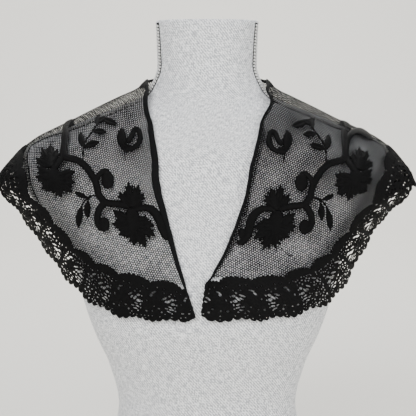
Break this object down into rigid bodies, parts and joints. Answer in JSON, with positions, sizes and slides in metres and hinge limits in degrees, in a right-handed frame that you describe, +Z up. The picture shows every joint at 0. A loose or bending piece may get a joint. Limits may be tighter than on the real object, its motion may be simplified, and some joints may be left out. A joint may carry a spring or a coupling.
{
  "type": "lace collar on a dress form",
  "caption": "Deep net cape collar with embroidered vines and scalloped lace edging, open in a V at the front, on a plain limbless dress form.",
  "frame": {"origin": "centre of the dress form's flat underside", "axes": "+Z up the dress form, -Y out through the collar's open front, +X to the right as seen from the front"},
  "size_m": [0.4654, 0.2257, 0.548],
  "materials": {
    "linen": "plain-woven pale grey-blue linen, matt",
    "seam_thread": "pale seam cord whipped over with black thread",
    "black_net": "fine black net, see-through",
    "black_lace": "black thread lace with a slight sheen",
    "black_binding": "narrow black tape",
    "black_embroidery": "black thread laid in satin stitch"
  },
  "bodies": {
    "root": {"edge_binding": "black_binding", "flower_lower_back_left": "black_embroidery", "flower_lower_back_right": "black_embroidery", "flower_lower_front_left": "black_embroidery", "flower_lower_front_right": "black_embroidery", "flower_upper_back_left": "black_embroidery", "flower_upper_back_right": "black_embroidery", "flower_upper_front_left": "black_embroidery", "flower_upper_front_right": "black_embroidery", "form_body": "linen", "lace_edging": "black_lace", "net_ground": "black_net", "seam_cord_left": "seam_thread", "seam_cord_right": "seam_thread", "sprig_back_left": "black_embroidery", "sprig_back_right": "black_embroidery", "sprig_front_left": "black_embroidery", "sprig_front_right": "black_embroidery", "vine_back_left": "black_embroidery", "vine_back_right": "black_embroidery", "vine_end_back_left": "black_embroidery", "vine_end_back_right": "black_embroidery", "vine_end_front_left": "black_embroidery", "vine_end_front_right": "black_embroidery", "vine_front_left": "black_embroidery", "vine_front_right": "black_embroidery", "vine_shoulder_left": "black_embroidery", "vine_shoulder_right": "black_embroidery"}
  },
  "joints": []
}
